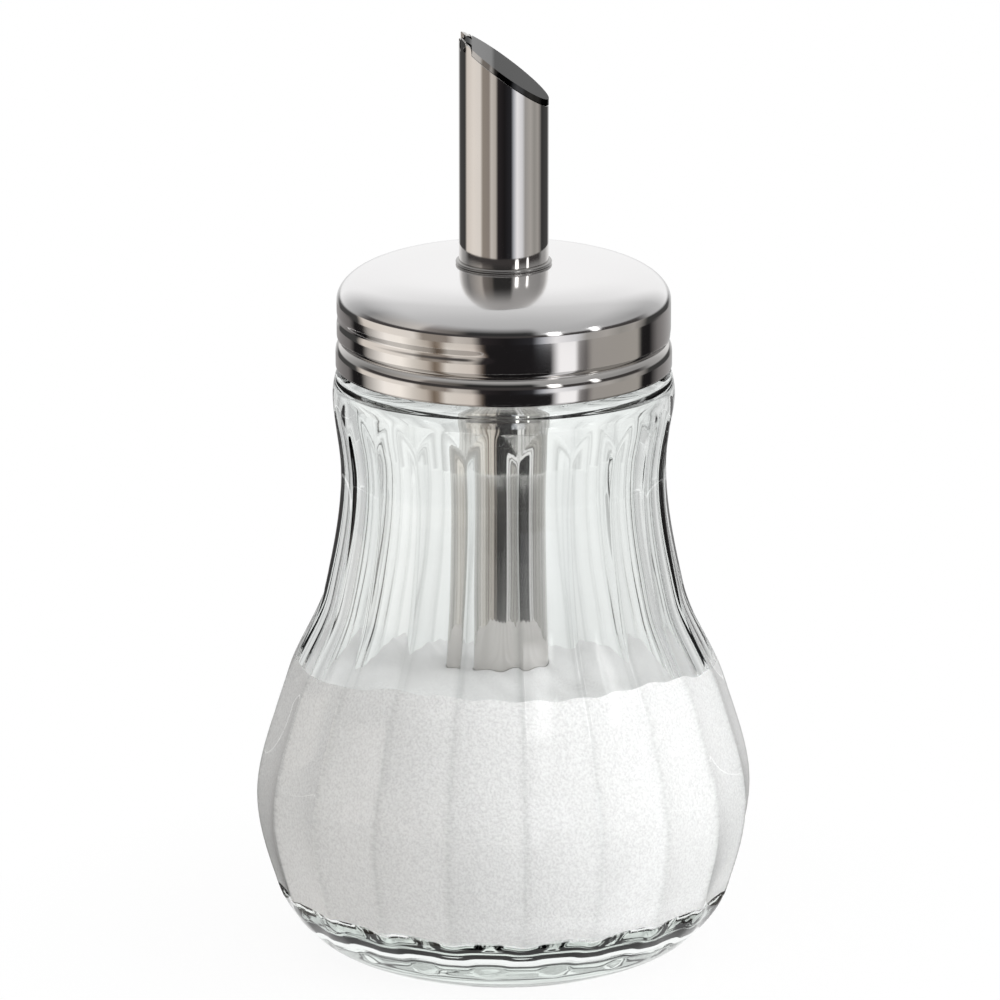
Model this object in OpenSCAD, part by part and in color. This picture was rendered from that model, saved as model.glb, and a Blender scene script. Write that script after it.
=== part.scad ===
/* [Glass jar] */
// Number of upright flutes round the jar
flute_count = 20; // [12:1:24]
// Depth of a flute at the belly, mm
flute_depth = 0.95; // [0.4:0.05:1.4]
// Turn of the first flute ridge, degrees
flute_turn = 5; // [0:1:18]
// Radius of the flat foot, mm
foot_r = 26.3; // [24:0.1:28]
// Radius low on the rounded heel, mm
heel_r = 31.6; // [30:0.1:33]
// Height of that heel point, mm
heel_z = 3; // [2.5:0.1:4]
// Radius under the belly, mm
under_r = 36.9; // [35:0.1:38]
// Height of that point, mm
under_z = 10; // [9:0.1:12]
// Radius of the belly, mm
belly_r = 40.5; // [39:0.1:42]
// Height of the belly, mm
belly_z = 26; // [24:0.5:28]
// Radius on the flank above the belly, mm
flank_r = 36.2; // [35:0.1:37.5]
// Height of the flank point, mm
flank_z = 44; // [42:0.5:46]
// Radius at the throat, mm
throat_r = 29.4; // [28.5:0.1:30.5]
// Height of the throat point, mm
throat_z = 60; // [58:0.5:62]
// Radius of the waist, mm
waist_r = 26.5; // [26:0.1:27.2]
// Height of the waist, mm
waist_z = 80; // [78:0.5:82]
// How far the shoulder stands out past the cap's bead, mm
shoulder_out = 0.5; // [0.3:0.05:0.8]
// Height of the shoulder bead, mm
shoulder_z = 93; // [92:0.5:93.5]
// Glass thickness at the belly and waist, mm
glass_wall = 2.7; // [2.2:0.1:3.2]
// Height of the inside floor, mm
floor_z = 6.5; // [5:0.5:8]
// Radius of the rounding inside the heel, mm
heel_round = 8; // [6:0.5:9]
// Width of the foot ring, mm
foot_w = 4.2; // [3:0.2:6]
// Depth of the hollow under the foot, mm
punt_depth = 1.2; // [0.6:0.1:2]
// Slope width of that hollow, mm
punt_slope = 4; // [3:0.5:6]

/* [Screw neck] */
// Room between the neck and the inside of the cap band, mm
neck_room = 2.15; // [2.05:0.05:2.4]
// Thickness of the glass at the neck, mm
neck_wall = 2.5; // [2.2:0.1:3]
// Radius of the rounded rim, mm
rim_round = 0.9; // [0.6:0.1:1.1]
// Height of the neck foot, mm
neck_z = 97; // [96.8:0.1:97.2]
// Height of the glass rim, mm
rim_z = 106.6; // [106.2:0.1:107]
// Pitch of the screw thread, mm
thread_pitch = 4; // [3.6:0.1:4]
// Height of the glass thread, mm
thread_h = 1.05; // [0.9:0.05:1.1]

/* [Cap] */
// Outside radius of the cap band, mm
cap_r = 27.05; // [26.9:0.05:27.3]
// How far the lower bead stands out past the band, mm
bead_out = 0.2; // [0.1:0.05:0.4]
// Thickness of the cap steel, mm
cap_wall = 0.6; // [0.5:0.05:0.7]
// Height of the cap's lower edge, mm
cap_z = 97.5; // [97.4:0.1:97.8]
// Height of the groove over the lower bead, mm
seam_z = 101.9; // [101.6:0.1:102.2]
// Height of the edge of the dome, mm
dome_z = 108.6; // [108.4:0.1:109]
// Rise of the dome over its edge, mm
dome_rise = 5.9; // [5.4:0.1:6.4]
// Thickness of the sealing ring, mm
seal_t = 1.3; // [1:0.1:1.5]
// How far the sealing ring reaches in past the neck's inside, mm
seal_in = 0.6; // [0.3:0.1:1]

/* [Pouring tube] */
// Outside radius of the tube, mm
tube_r = 7.25; // [7:0.05:7.5]
// Thickness of the tube wall, mm
tube_wall = 0.6; // [0.5:0.05:0.7]
// Slant of the mouth, degrees
mouth_slant = 36.4; // [34:0.2:39]
// Height of the mouth at the tube's axis, mm
mouth_z = 147.15; // [145:0.1:149]
// Lowest point of the tube inside the jar, mm
tube_foot_z = 33; // [28:0.5:40]
// Slant of the inner end, degrees
foot_slant = 30; // [20:1:36]
// Width of the ring on the dome, mm
collar_w = 0.75; // [0.6:0.05:0.9]
// Height of the ring on the dome, mm
collar_h = 1.05; // [0.8:0.05:1.3]
// Width of the lock ring under the dome, mm
lock_w = 2.6; // [2:0.1:3]
// Thickness of the lock ring, mm
lock_t = 1.3; // [1:0.1:1.5]

/* [Flap] */
// Thickness of the flap, mm
flap_t = 0.8; // [0.7:0.05:0.9]
// Radius of the hinge pin, mm
pin_r = 0.45; // [0.4:0.01:0.5]
// Running clearance of the pin, mm
pin_gap = 0.05; // [0.03:0.01:0.08]
// Distance of the pin's axis from the outside of the tube, mm
pin_inset = 1.2; // [1.1:0.05:1.3]
// How far the pin's ends stay inside the tube's outside, mm
pin_end = 0.145; // [0.1:0.005:0.3]
// Half the length of the flap's knuckle, mm
knuckle_half = 2.0; // [1.7:0.05:2.2]

/* [Hidden] */
// points across one flute
steps = 4;
ring_n = flute_count * steps;
flute_w = 360 / flute_count;

// radii that follow the cap band
cap_in = cap_r - cap_wall;
bead_r = cap_r + bead_out;
neck_r = cap_in - neck_room;
mouth_r = neck_r - neck_wall;
shoulder_r = bead_r + shoulder_out;

// flat land between the shoulder and the neck
land_w = 1;
land_z = neck_z - land_w;
land_r = shoulder_r - 0.45;

// height where the inside starts to close towards the neck
inner_turn_z = land_z - 12;

// clearances
seal_gap = 0.1;
seal_side = 0.3;
seat_gap = 0.06;
side_gap = 0.15;
slot_gap = 0.2;
lock_gap = 0.2;
eps = 0.02;

tube_in = tube_r - tube_wall;
seal_z = rim_z + seal_gap;
knuckle_r = flap_t + 0.05;
pin_x = tube_r - pin_inset;
pin_half = sqrt(pow(tube_r, 2) - pow(pin_x, 2)) - pin_end;

// length and height that every cut reaches past its piece
reach = 40;

// pin centre in the slanted frame of the mouth
pin_s = (-pin_x + knuckle_r * sin(mouth_slant)) / cos(mouth_slant);

function step01(t) = t <= 0 ? 0 : t >= 1 ? 1 : t * t * (3 - 2 * t);

stations = [
  [0, foot_r],
  [heel_z, heel_r],
  [under_z, under_r],
  [belly_z, belly_r],
  [flank_z, flank_r],
  [throat_z, throat_r],
  [waist_z, waist_r],
  [shoulder_z, shoulder_r],
  [land_z, land_r]
];

function slope(i) = (stations[i + 1][1] - stations[i][1]) / (stations[i + 1][0] - stations[i][0]);
function tangent(i) = i == 0 ? slope(0) * 1.25
  : i == len(stations) - 1 ? slope(i - 1) * 1.5
  : slope(i - 1) * slope(i) <= 0 ? 0
  : 2 * slope(i - 1) * slope(i) / (slope(i - 1) + slope(i));
function span(z, i = 0) = i >= len(stations) - 2 || z < stations[i + 1][0] ? i : span(z, i + 1);
function curve(z, i) =
  let (w = stations[i + 1][0] - stations[i][0], t = (z - stations[i][0]) / w)
  stations[i][1] * (2 * t * t * t - 3 * t * t + 1)
  + tangent(i) * w * (t * t * t - 2 * t * t + t)
  + stations[i + 1][1] * (3 * t * t - 2 * t * t * t)
  + tangent(i + 1) * w * (t * t * t - t * t);

// outside radius of the jar on a flute ridge, below the neck
function jar_r(z) = curve(z, span(z));

// share of the full flute depth across one flute, with a round top and bottom end
function flute(u, z) =
  let (fade = step01((z - 86) / 8.5) + 1 - step01((z - 1.2) / 7), full = 4 * u * (1 - u))
  max(0, full - fade) * (0.55 + 0.45 * step01((70 - z) / 40));

// raised screw thread on the neck, one turn and a quarter
thread_start = 90;
thread_z = 99.2;
function thread_at(a, z) =
  let (
    k = round(((z - thread_z) / thread_pitch * 360 - (a - thread_start)) / 360),
    turn = a - thread_start + 360 * k,
    dz = abs(z - thread_z - turn / 360 * thread_pitch),
    ends = min(step01((turn + 10) / 24), step01((460 - turn) / 24))
  )
  thread_h * ends * step01((0.95 - dz) / 0.6);

neck_fillet = 0.4;
function outer_r(a, z) =
  z <= land_z ? jar_r(z) - flute_depth * flute(((a + 720 - flute_turn) % flute_w) / flute_w, z)
  : z <= neck_z ? let (t = (z - land_z) / (neck_z - land_z))
      neck_r + neck_fillet + (land_r - neck_r - neck_fillet) * sqrt(max(0, 1 - t * t))
  : z <= rim_z - rim_round ? neck_r + thread_at(a, z)
  : neck_r - rim_round + sqrt(max(0, pow(rim_round, 2) - pow(z - rim_z + rim_round, 2)))
    + thread_at(a, z);

ring_z = concat(
  [0, 0.6, 1.4, 2.4, 3.6, 5, 6.6, 8.4, 10.4],
  [for (z = [13 : 3.25 : inner_turn_z]) z],
  [for (z = [land_z - 10 : 1.25 : land_z - 1.25]) z],
  [land_z, land_z + land_w * 0.5, land_z + land_w * 0.85, neck_z],
  [for (z = [neck_z + 0.5 : 0.55 : rim_z - 1]) z],
  [rim_z - 0.6, rim_z - 0.25, rim_z]
);

module jar_skin() {
  n = ring_n;
  m = len(ring_z);
  points = [
    for (z = ring_z)
      for (k = [0 : n - 1])
        let (a = flute_turn + 360 * k / n, r = outer_r(a, z))
        [r * cos(a), r * sin(a), z]
  ];
  sides = [
    for (i = [0 : m - 2])
      for (k = [0 : n - 1])
        for (h = [0 : 1])
          h == 0
          ? [i * n + k, (i + 1) * n + (k + 1) % n, i * n + (k + 1) % n]
          : [i * n + k, (i + 1) * n + k, (i + 1) * n + (k + 1) % n]
  ];
  low = [[for (k = [0 : n - 1]) k]];
  top = [[for (k = [n - 1 : -1 : 0]) (m - 1) * n + k]];
  polyhedron(points = points, faces = concat(low, sides, top), convexity = 6);
}

// inside radius: the ridge radius less the wall and a share of the flutes, closing to the mouth
function wall_in(z) = jar_r(z) - flute_depth * 0.3 - glass_wall;
function inner_r(z) = z < inner_turn_z ? wall_in(z)
  : let (t = step01((z - inner_turn_z) / (land_z - inner_turn_z)))
    wall_in(inner_turn_z) * (1 - t) + mouth_r * t;

rim_bevel = 0.8;
module jar_hollow() {
  heel_top = floor_z + heel_round;
  heel_in = inner_r(heel_top) - heel_round - 1;
  rotate_extrude($fn = 120)
    polygon(concat(
      [[0, floor_z], [heel_in, floor_z]],
      [for (t = [15 : 15 : 75]) [
        heel_in + (inner_r(heel_top) - heel_in) * sin(t),
        floor_z + heel_round * (1 - cos(t))
      ]],
      [for (z = [heel_top : 4 : land_z]) [inner_r(z), z]],
      [
        [mouth_r, neck_z + 0.5],
        [mouth_r, rim_z - rim_bevel],
        [mouth_r + rim_bevel, rim_z + eps],
        [mouth_r + rim_bevel, rim_z + 1]
      ],
      [[0, rim_z + 1]]
    ));
}

module glass_jar() {
  color([0.86, 0.92, 0.9, 0.35])
    difference() {
      jar_skin();
      jar_hollow();
      translate([0, 0, -eps])
        cylinder(h = punt_depth + eps, r1 = foot_r - foot_w, r2 = foot_r - foot_w - punt_slope, $fn = 96);
    }
}

// outside radius and height of the dome at share t of the cap radius
function dome_at(r, edge, rise) = dome_z + rise * pow(max(0, 1 - pow(r / edge, 4)), 0.55);
dome_stops = [1, 0.995, 0.985, 0.97, 0.94, 0.9, 0.85, 0.78, 0.7, 0.6, 0.48, 0.36];

module cap_profile() {
  polygon(concat(
    [
      [bead_r - 0.75, cap_z],
      [bead_r - 0.3, cap_z],
      [bead_r - 0.05, cap_z + 0.5],
      [bead_r, cap_z + 1.4],
      [bead_r, cap_z + 2.5],
      [bead_r - 0.1, cap_z + 3.4],
      [bead_r - 0.35, seam_z - 0.45],
      [cap_r - 0.45, seam_z],
      [cap_r - 0.2, seam_z + 0.45],
      [cap_r - 0.03, seam_z + 1.2],
      [cap_r, seam_z + 2.2],
      [cap_r - 0.02, dome_z - 1.2]
    ],
    [for (t = dome_stops) [cap_r * t, dome_at(cap_r * t, cap_r, dome_rise)]],
    [[tube_r, dome_at(tube_r, cap_r, dome_rise)], [tube_r, dome_at(tube_r, cap_r, dome_rise) - cap_wall]],
    [for (i = [len(dome_stops) - 1 : -1 : 0])
      let (t = dome_stops[i])
      [cap_in * t, dome_at(cap_in * t, cap_in, dome_rise - cap_wall)]],
    [
      [cap_in, seam_z + 1],
      [cap_in - 0.4, seam_z],
      [cap_in, seam_z - 1],
      [cap_in + 0.15, cap_z + 0.5]
    ]
  ));
}

// short pressed lugs inside the band that follow the screw line under the glass thread
lug_count = 6;
lug_turn = 24;
lug_step = 50;
lug_drop = 1.72;
lug_z0 = thread_z - lug_drop + thread_pitch * (lug_turn / 2) / 360;
lug_tip = neck_r + 0.5;
lug_root = cap_in + 0.35;

module lugs() {
  for (i = [0 : lug_count - 1])
    translate([0, 0, lug_z0 + thread_pitch * i * lug_step / 360])
      rotate([0, 0, thread_start + i * lug_step])
        rotate_extrude(angle = lug_turn, $fn = 144)
          polygon([
            [lug_tip, -0.25],
            [lug_root, -0.75],
            [lug_root, 0.75],
            [lug_tip, 0.25]
          ]);
}

module cap_shell() {
  color([0.8, 0.8, 0.8])
    union() {
      rotate_extrude($fn = 144) cap_profile();
      lugs();
    }
}

module sealing_ring() {
  color([0.9, 0.9, 0.88])
    translate([0, 0, seal_z])
      difference() {
        cylinder(h = seal_t, r = neck_r - seal_side, $fn = 96);
        translate([0, 0, -1])
          cylinder(h = seal_t + 2, r = mouth_r - seal_in, $fn = 96);
      }
}

module slanted() {
  translate([0, 0, mouth_z])
    rotate([0, mouth_slant, 0])
      children();
}

module at_pin() {
  slanted()
    translate([pin_s, 0, -knuckle_r])
      rotate([90, 0, 0])
        children();
}

module pour_tube() {
  color([0.78, 0.78, 0.79])
    difference() {
      translate([0, 0, tube_foot_z])
        difference() {
          cylinder(h = mouth_z + 12 - tube_foot_z, r = tube_r, $fn = 72);
          translate([0, 0, -1])
            cylinder(h = mouth_z + 14 - tube_foot_z, r = tube_in, $fn = 72);
        }
      // everything over the top face of the flap
      slanted()
        translate([-reach / 2, -reach / 2, 0])
          cube(reach);
      // seat of the flap, up to the ears at the tip
      difference() {
        slanted()
          translate([pin_s, -reach / 2, -flap_t - seat_gap])
            cube(reach);
        at_pin()
          cylinder(h = reach, r = knuckle_r, center = true, $fn = 40);
      }
      // slot for the knuckle
      at_pin()
        cylinder(h = 2 * (knuckle_half + side_gap), r = knuckle_r + slot_gap, center = true, $fn = 40);
      slanted()
        translate([pin_s - 4, -knuckle_half - side_gap, -knuckle_r])
          cube([4 + knuckle_r + slot_gap, 2 * (knuckle_half + side_gap), 6]);
      // holes for the pin
      at_pin()
        cylinder(h = reach, r = pin_r, center = true, $fn = 32);
      // slanted inner end
      translate([-tube_r, 0, tube_foot_z])
        rotate([0, -foot_slant, 0])
          translate([-reach / 4, -reach / 2, -reach])
            cube([2 * reach, reach, reach]);
    }
}

module tube_collar() {
  color([0.7, 0.7, 0.71])
    translate([0, 0, dome_at(tube_r + collar_w, cap_r, dome_rise) + 0.02])
      rotate_extrude($fn = 96)
        polygon([
          [tube_r, 0],
          [tube_r + collar_w * 0.8, 0],
          [tube_r + collar_w, collar_h * 0.24],
          [tube_r + collar_w, collar_h * 0.57],
          [tube_r + collar_w * 0.7, collar_h * 0.86],
          [tube_r, collar_h]
        ]);
}

module lock_ring() {
  color([0.6, 0.6, 0.61])
    translate([0, 0, dome_at(tube_r + lock_w, cap_r, dome_rise) - cap_wall - lock_gap - lock_t])
      difference() {
        cylinder(h = lock_t, r = tube_r + lock_w, $fn = 96);
        translate([0, 0, -1])
          cylinder(h = lock_t + 2, r = tube_r, $fn = 96);
      }
}

module flap() {
  color([0.75, 0.75, 0.76])
    difference() {
      union() {
        intersection() {
          translate([0, 0, mouth_z - reach / 2])
            cylinder(h = reach, r = tube_r, $fn = 72);
          difference() {
            slanted()
              translate([pin_s, -reach / 2, -flap_t])
                cube([reach, reach, flap_t]);
            at_pin()
              for (s = [-1, 1])
                translate([0, 0, s * (reach / 2 + knuckle_half)])
                  cylinder(h = reach, r = knuckle_r + side_gap, center = true, $fn = 40);
          }
        }
        at_pin()
          cylinder(h = 2 * knuckle_half, r = knuckle_r, center = true, $fn = 40);
      }
      at_pin()
        cylinder(h = reach, r = pin_r + pin_gap, center = true, $fn = 32);
    }
}

module flap_pin() {
  color([0.5, 0.5, 0.5])
    at_pin()
      cylinder(h = 2 * pin_half, r = pin_r, center = true, $fn = 32);
}

glass_jar();
sealing_ring();
cap_shell();
pour_tube();
tube_collar();
lock_ring();
flap();
flap_pin();
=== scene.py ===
import math
import bpy
import numpy as np
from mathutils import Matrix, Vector


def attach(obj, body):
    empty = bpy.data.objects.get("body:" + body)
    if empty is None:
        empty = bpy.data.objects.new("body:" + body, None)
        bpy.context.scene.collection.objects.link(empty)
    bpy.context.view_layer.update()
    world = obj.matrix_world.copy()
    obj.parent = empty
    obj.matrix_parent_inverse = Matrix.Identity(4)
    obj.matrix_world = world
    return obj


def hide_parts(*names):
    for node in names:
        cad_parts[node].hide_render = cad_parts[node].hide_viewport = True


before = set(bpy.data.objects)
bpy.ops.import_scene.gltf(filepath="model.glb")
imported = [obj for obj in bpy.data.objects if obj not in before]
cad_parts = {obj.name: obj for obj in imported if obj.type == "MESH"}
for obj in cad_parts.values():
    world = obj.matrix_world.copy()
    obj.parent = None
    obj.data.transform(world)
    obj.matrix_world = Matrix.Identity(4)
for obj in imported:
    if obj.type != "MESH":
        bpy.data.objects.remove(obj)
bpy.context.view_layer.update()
MM = 0.001

# sizes of the glass in mm, as in the part's source
FLUTES, FLUTE_DEPTH, FLUTE_TURN = 20, 0.95, 5.0
WALL, FLOOR_Z, HEEL_ROUND = 2.7, 6.5, 8.0
FOOT_R, FOOT_W, PUNT = 26.3, 4.2, 1.2
LAND_Z, LAND_R = 96.0, 27.3
NECK_R, MOUTH_R, NECK_Z, RIM_Z, RIM_ROUND = 24.3, 21.8, 97.0, 106.6, 0.9
PITCH, THREAD_H, THREAD_START, THREAD_Z = 4.0, 1.05, 90.0, 99.2
# height and radius of the points that the jar's outline runs through
STATIONS = [(0, FOOT_R), (3, 31.6), (10, 36.9), (26, 40.5), (44, 36.2), (60, 29.4), (80, 26.5),
            (93, 27.75), (LAND_Z, LAND_R)]

# sizes of the metal in mm, as in the part's source
CAP_R, BEAD_R, CAP_WALL, CAP_Z = 27.05, 27.25, 0.6, 97.5
SEAM_Z, DOME_Z, DOME_RISE = 101.9, 108.6, 5.9
CAP_IN = CAP_R - CAP_WALL
TUBE_R, TUBE_WALL, SLANT, MOUTH_Z = 7.25, 0.6, math.radians(36.4), 147.15
TUBE_FOOT, FOOT_SLANT = 33.0, math.radians(30.0)
FLAP_T, PIN_X, KNUCKLE_HALF, SEAT_GAP, SIDE_GAP = 0.8, 6.05, 2.0, 0.06, 0.15
KNUCKLE_R = FLAP_T + 0.05

# how the flutes run out: start and length at the top and at the foot, and their depth at the waist
FLUTE_TOP, FLUTE_TOP_RUN = 86.0, 8.5
FLUTE_FOOT, FLUTE_FOOT_RUN = 1.2, 15.0
WAIST_SHARE, WAIST_Z, WAIST_RUN = 0.55, 70.0, 40.0
RIDGE_SOFT = 0.05
# the inside of the glass: share of the flutes in it, where it closes, and how far in the floor is flat
FLUTE_INSIDE, CLOSE_Z, CLOSE_RUN = 0.3, 93.0, 5.0
FLOOR_EDGE = 9.0
NECK_FILLET = 0.4
# the thread's length, the turn over which it rises, and its half width and flank
THREAD_TURN, THREAD_LEAD, THREAD_FADE = 450.0, 10.0, 24.0
THREAD_HALF, THREAD_FLANK = 0.95, 0.6


# shape functions
def step01(t):
    """Smooth step from 0 to 1."""
    t = min(max(t, 0.0), 1.0)
    return t * t * (3 - 2 * t)


def slope(i):
    (z0, r0), (z1, r1) = STATIONS[i], STATIONS[i + 1]
    return (r1 - r0) / (z1 - z0)


def tangent(i):
    """Slope of the outline at a station, level where the outline turns back."""
    if i == 0:
        return slope(0) * 1.25
    if i == len(STATIONS) - 1:
        return slope(i - 1) * 1.5
    a, b = slope(i - 1), slope(i)
    return 0.0 if a * b <= 0 else 2 * a * b / (a + b)


def jar_r(z):
    """Radius on the flute ridges at height z, on a cubic curve between the stations."""
    i = 0
    while i < len(STATIONS) - 2 and z >= STATIONS[i + 1][0]:
        i += 1
    (z0, r0), (z1, r1) = STATIONS[i], STATIONS[i + 1]
    w = z1 - z0
    t = (z - z0) / w
    return (r0 * (2 * t**3 - 3 * t**2 + 1) + tangent(i) * w * (t**3 - 2 * t**2 + t)
            + r1 * (3 * t**2 - 2 * t**3) + tangent(i + 1) * w * (t**3 - t**2))


def flute(u, z):
    """Share of the full depth at share u of a flute's width, with soft arched ends."""
    fade = step01((z - FLUTE_TOP) / FLUTE_TOP_RUN) + 1 - step01((z - FLUTE_FOOT) / FLUTE_FOOT_RUN)
    full = max(0.0, 4 * u * (1 - u) - fade)
    soft = (math.hypot(full, RIDGE_SOFT) - RIDGE_SOFT) / (math.hypot(1.0, RIDGE_SOFT) - RIDGE_SOFT)
    return soft * (WAIST_SHARE + (1 - WAIST_SHARE) * step01((WAIST_Z - z) / WAIST_RUN))


def thread_at(a, z):
    """How far the thread stands out of the neck at angle a and height z."""
    k = round(((z - THREAD_Z) / PITCH * 360 - (a - THREAD_START)) / 360)
    turn = a - THREAD_START + 360 * k
    dz = abs(z - THREAD_Z - turn / 360 * PITCH)
    ends = min(step01((turn + THREAD_LEAD) / THREAD_FADE),
               step01((THREAD_TURN + THREAD_LEAD - turn) / THREAD_FADE))
    return THREAD_H * ends * step01((THREAD_HALF - dz) / THREAD_FLANK)


def outer_r(a, z):
    """Outside radius of the glass at angle a and height z."""
    if z <= LAND_Z:
        width = 360 / FLUTES
        u = ((a + 720 - FLUTE_TURN) % width) / width
        return jar_r(z) - FLUTE_DEPTH * flute(u, z)
    if z <= NECK_Z:
        t = (z - LAND_Z) / (NECK_Z - LAND_Z)
        foot = NECK_R + NECK_FILLET
        return foot + (LAND_R - foot) * math.sqrt(max(0.0, 1 - t * t))
    if z <= RIM_Z - RIM_ROUND:
        return NECK_R + thread_at(a, z)
    up = z - RIM_Z + RIM_ROUND
    return NECK_R - RIM_ROUND + math.sqrt(max(0.0, RIM_ROUND**2 - up**2)) + thread_at(a, z)


def inner_r(z):
    """Inside radius of the glass above the heel."""
    t = step01((z - CLOSE_Z) / CLOSE_RUN)
    return (jar_r(z) - FLUTE_DEPTH * FLUTE_INSIDE - WALL) * (1 - t) + MOUTH_R * t


HEEL_TOP = FLOOR_Z + HEEL_ROUND
HEEL_IN = inner_r(HEEL_TOP) - FLOOR_EDGE


def hollow_r(z):
    """Inside radius of the glass at height z, heel included."""
    if z >= HEEL_TOP:
        return inner_r(z)
    c = max(-1.0, min(1.0, 1 - (z - FLOOR_Z) / HEEL_ROUND))
    return HEEL_IN + (inner_r(HEEL_TOP) - HEEL_IN) * math.sin(math.acos(c))


def dome(r, edge, rise):
    """Height of the dome at radius r."""
    return DOME_Z + rise * max(0.0, 1 - (r / edge) ** 5) ** 0.55


def mouth_plane(x, drop=0.0):
    """Height of the mouth's top plane over x, lowered square to the plane by drop."""
    return MOUTH_Z - x * math.tan(SLANT) - drop / math.cos(SLANT)


PIN_Z = mouth_plane(-PIN_X, KNUCKLE_R)


# mesh helpers
def new_object(name, verts, faces, smooth=True, angle=None):
    """Object from points in mm, with edges sharper than angle kept sharp."""
    mesh = bpy.data.meshes.new(name)
    mesh.from_pydata([tuple(c * MM for c in v) for v in verts], [], faces)
    mesh.validate()
    obj = bpy.data.objects.new(name, mesh)
    bpy.context.scene.collection.objects.link(obj)
    mesh.polygons.foreach_set("use_smooth", [smooth] * len(mesh.polygons))
    if angle is not None:
        mesh.set_sharp_from_angle(angle=math.radians(angle))
    return obj


def around(a, r, z):
    """Point at angle a in degrees, radius r and height z."""
    return (r * math.cos(math.radians(a)), r * math.sin(math.radians(a)), z)


def ring_grid(count, n, closed=True):
    """Quads between count rings of n points; closed joins the last ring to the first."""
    faces = []
    for i in range(count if closed else count - 1):
        j = (i + 1) % count
        for k in range(n):
            q = (k + 1) % n
            faces.append((i * n + k, i * n + q, j * n + q, j * n + k))
    return faces


def lathe(name, loop, n, angle, r_of=None):
    """Turns a closed (r, z) loop about Z; r_of(angle, r, z) may change the radius."""
    verts = []
    for r, z in loop:
        for k in range(n):
            a = 360.0 * k / n
            verts.append(around(a, r_of(a, r, z) if r_of else r, z))
    return new_object(name, verts, ring_grid(len(loop), n), True, angle)


# node helpers
def material(name):
    m = bpy.data.materials.new(name)
    m.use_nodes = True
    nt = m.node_tree
    return m, nt, nt.nodes["Principled BSDF"]


def glow(name, strength):
    """Material that only shines, and the socket of its colour."""
    m, nt, bsdf = material(name)
    nt.nodes.remove(bsdf)
    em = nt.nodes.new("ShaderNodeEmission")
    em.inputs["Strength"].default_value = strength
    nt.links.new(em.outputs["Emission"], nt.nodes["Material Output"].inputs["Surface"])
    return m, nt, em.inputs["Color"]


def object_point(nt):
    """The point in the object's own coordinates, whole and as X, Y and Z."""
    coords = nt.nodes.new("ShaderNodeTexCoord").outputs["Object"]
    split = nt.nodes.new("ShaderNodeSeparateXYZ")
    nt.links.new(coords, split.inputs["Vector"])
    return coords, split.outputs["X"], split.outputs["Y"], split.outputs["Z"]


def maths(nt, operation, *values):
    """Maths node; each value is a socket or a number."""
    node = nt.nodes.new("ShaderNodeMath")
    node.operation = operation
    for k, value in enumerate(values):
        if isinstance(value, (int, float)):
            node.inputs[k].default_value = value
        else:
            nt.links.new(value, node.inputs[k])
    return node.outputs["Value"]


def length_of(nt, vector):
    node = nt.nodes.new("ShaderNodeVectorMath")
    node.operation = "LENGTH"
    nt.links.new(vector, node.inputs[0])
    return node.outputs["Value"]


def remap(nt, value, start, end, low=0.0, high=1.0):
    """Takes start to end over to low to high, and holds the ends."""
    node = nt.nodes.new("ShaderNodeMapRange")
    node.inputs["From Min"].default_value = start
    node.inputs["From Max"].default_value = end
    node.inputs["To Min"].default_value = low
    node.inputs["To Max"].default_value = high
    nt.links.new(value, node.inputs["Value"])
    return node.outputs["Result"]


def window(nt, value, start, full, last, end):
    """1 between full and last, falling to 0 at start and end."""
    rise = remap(nt, value, start, full)
    return maths(nt, "MULTIPLY", rise, remap(nt, value, last, end, 1.0, 0.0))


def noise(nt, scale, detail, rough=0.55, vector=None):
    """Noise over the object's own coordinates, or over another vector."""
    node = nt.nodes.new("ShaderNodeTexNoise")
    node.inputs["Scale"].default_value = scale
    node.inputs["Detail"].default_value = detail
    node.inputs["Roughness"].default_value = rough
    if vector is None:
        vector = nt.nodes.new("ShaderNodeTexCoord").outputs["Object"]
    nt.links.new(vector, node.inputs["Vector"])
    return node.outputs["Fac"]


def ramp(nt, fac, stops):
    """Colour ramp; stops are (place, red, green, blue)."""
    node = nt.nodes.new("ShaderNodeValToRGB")
    els = node.color_ramp.elements
    els.remove(els[1])
    els[0].position = stops[0][0]
    els[0].color = (*stops[0][1:], 1)
    for place, *color in stops[1:]:
        els.new(place).color = (*color, 1)
    nt.links.new(fac, node.inputs["Fac"])
    return node.outputs["Color"]


def greys(stops):
    """Stops of a ramp from (place, level)."""
    return [(place, level, level, level) for place, level in stops]


def mix(nt, fac, a, b, data_type="RGBA"):
    """Mixes two colours or two values; each is a socket or a constant."""
    node = nt.nodes.new("ShaderNodeMix")
    node.data_type = data_type
    nt.links.new(fac, node.inputs["Factor"])
    for key, value in (("A", a), ("B", b)):
        if isinstance(value, tuple):
            node.inputs[key].default_value = (*value, 1)
        elif isinstance(value, float):
            node.inputs[key].default_value = value
        else:
            nt.links.new(value, node.inputs[key])
    return node.outputs["Result"]


def mix_shaders(nt, fac, a, b):
    """Puts a mix of two shaders on the surface."""
    node = nt.nodes.new("ShaderNodeMixShader")
    nt.links.new(fac, node.inputs["Fac"])
    nt.links.new(a, node.inputs[1])
    nt.links.new(b, node.inputs[2])
    nt.links.new(node.outputs["Shader"], nt.nodes["Material Output"].inputs["Surface"])


def bump(nt, bsdf, height, strength, distance):
    node = nt.nodes.new("ShaderNodeBump")
    node.inputs["Strength"].default_value = strength
    node.inputs["Distance"].default_value = distance
    nt.links.new(height, node.inputs["Height"])
    nt.links.new(node.outputs["Normal"], bsdf.inputs["Normal"])


def toned(nt, bsdf, color, shade, scale, start, end):
    """Base colour that drifts between color and a shade of it."""
    dark = [c * shade for c in color]
    tone = ramp(nt, noise(nt, scale, 3.0), [(start, *dark), (end, *color)])
    nt.links.new(tone, bsdf.inputs["Base Color"])


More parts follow.
